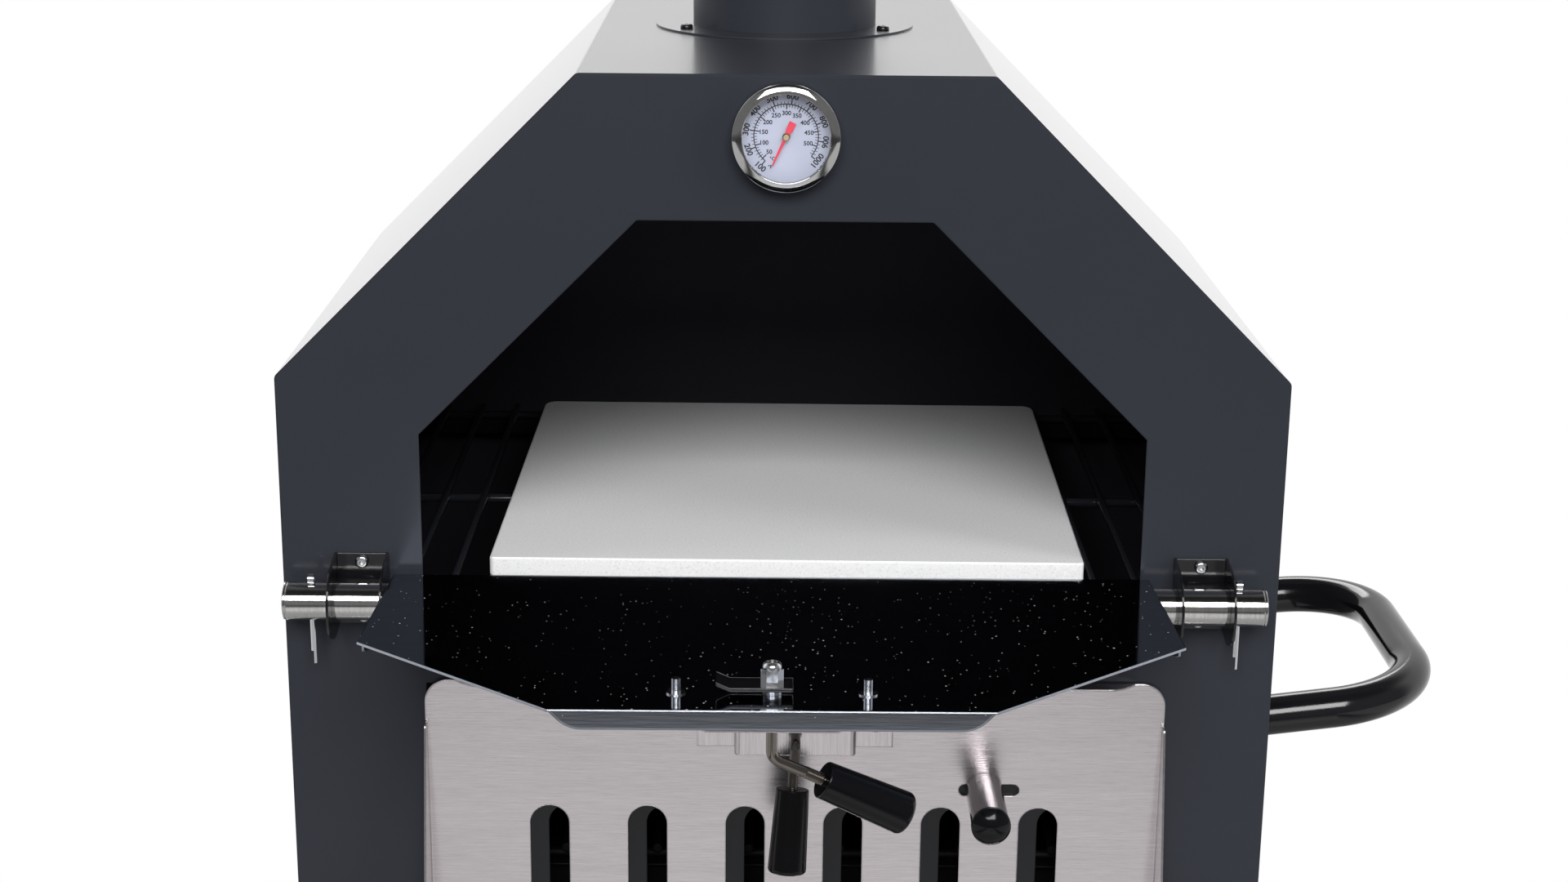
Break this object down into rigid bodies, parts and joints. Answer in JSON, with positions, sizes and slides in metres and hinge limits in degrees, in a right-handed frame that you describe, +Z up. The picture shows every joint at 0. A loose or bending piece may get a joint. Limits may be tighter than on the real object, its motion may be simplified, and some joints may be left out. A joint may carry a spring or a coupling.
{
  "type": "portable pizza oven",
  "caption": "Charcoal pizza oven of folded sheet steel with a drop-down oven door, a vented fire door below, a chimney, a dial thermometer and a wheeled stand.",
  "frame": {"origin": "on the ground, at the middle of the oven's outline seen from above", "axes": "+Z up, +X to the right as seen from the front, towards the side handle, +Y from the doors to the back"},
  "size_m": [0.6784, 0.6066, 1.66],
  "materials": {
    "charcoal_paint": "satin powder coat",
    "gloss_black": "gloss enamel",
    "stainless": "brushed or polished stainless",
    "bright_metal": "bright zinc or chrome plate",
    "stone": "matt cordierite",
    "glass": "clear",
    "dial_white": "printed matt",
    "needle_red": "matt",
    "brass": "plain",
    "black_plastic": "satin"
  },
  "bodies": {
    "oven": {"front_panel": "charcoal_paint", "left_wall": "charcoal_paint", "right_wall": "charcoal_paint", "left_slope": "charcoal_paint", "right_slope": "charcoal_paint", "roof_panel": "charcoal_paint", "rear_panel": "charcoal_paint", "floor_panel": "charcoal_paint", "side_grid_rails": "gloss_black", "rear_grid_rail": "gloss_black", "cooking_grid": "gloss_black", "pizza_stone": "stone", "ash_pan": "gloss_black", "charcoal_grate": "gloss_black", "chimney_flange": "charcoal_paint", "chimney_pipe": "charcoal_paint", "chimney_screws": "gloss_black", "rain_cap": "charcoal_paint", "thermometer_case": "bright_metal", "thermometer_lens": "glass", "thermometer_dial": "dial_white", "thermometer_stem": "bright_metal", "thermometer_nut": "bright_metal", "hinge_brackets": "gloss_black", "bracket_screws": "bright_metal", "bracket_nuts": "bright_metal", "hinge_tubes": "stainless", "hinge_tube_caps": "stainless", "hinge_pins": "bright_metal", "side_handle": "gloss_black", "handle_bolts": "gloss_black", "left_legs": "charcoal_paint", "right_legs": "charcoal_paint", "leg_bolts": "gloss_black", "lower_shelf": "charcoal_paint", "wheel_axle": "stainless", "axle_caps": "black_plastic", "leg_feet": "black_plastic"},
    "thermometer_pointer": {"thermometer_needle": "needle_red", "thermometer_hub": "brass"},
    "oven_door": {"oven_door_leaf": "stainless", "oven_latch_bracket": "stainless", "oven_door_fixings": "bright_metal"},
    "oven_latch": {"oven_latch_lever": "bright_metal", "oven_latch_grip": "black_plastic", "oven_latch_tongue": "gloss_black", "oven_latch_nuts": "bright_metal"},
    "fire_door": {"fire_door_leaf": "stainless", "fire_latch_bracket": "stainless", "fire_door_fixings": "bright_metal", "damper_guides": "stainless"},
    "fire_latch": {"fire_latch_lever": "bright_metal", "fire_latch_grip": "black_plastic", "fire_latch_tongue": "gloss_black", "fire_latch_nuts": "bright_metal"},
    "damper": {"damper_plate": "gloss_black", "damper_knob": "stainless", "damper_knob_cap": "black_plastic"},
    "front_wheel_body": {"front_wheel": "black_plastic"},
    "rear_wheel_body": {"rear_wheel": "black_plastic"}
  },
  "joints": [
    {"name": "oven_door_hinge", "type": "hinge", "parent": "oven", "child": "oven_door", "pos_m": [-0.03282, -0.09999, 1.0387], "axis": [-1, 0, 0], "range_deg": [0, 86.24]},
    {"name": "fire_door_hinge", "type": "hinge", "parent": "oven", "child": "fire_door", "pos_m": [-0.02022, -0.09999, 0.8464], "axis": [1, 0, 0], "range_deg": [0, 86.24]},
    {"name": "oven_latch_turn", "type": "hinge", "parent": "oven_door", "child": "oven_latch", "pos_m": [-0.03282, -0.27929, 1.06301], "axis": [0, 0.0656, 0.9978], "range_deg": [0, 90]},
    {"name": "fire_latch_turn", "type": "hinge", "parent": "fire_door", "child": "fire_latch", "pos_m": [-0.02022, -0.08749, 0.9698], "axis": [0, 1, 0], "range_deg": [0, 90]},
    {"name": "damper_slide", "type": "slide", "parent": "fire_door", "child": "damper", "axis": [1, 0, 0], "range_m": [-0.0096, 0.0149]},
    {"name": "thermometer_turn", "type": "hinge", "parent": "oven", "child": "thermometer_pointer", "pos_m": [-0.02772, -0.08599, 1.271], "axis": [0, 1, 0], "range_deg": [-10, 283], "stiffness_Nm_per_rad": 0.001},
    {"name": "front_wheel_roll", "type": "hinge", "parent": "oven", "child": "front_wheel_body", "pos_m": [-0.26422, -0.10299, 0.075], "axis": [0, 1, 0], "continuous": true},
    {"name": "rear_wheel_roll", "type": "hinge", "parent": "oven", "child": "rear_wheel_body", "pos_m": [-0.26422, 0.28101, 0.075], "axis": [0, 1, 0], "continuous": true}
  ]
}
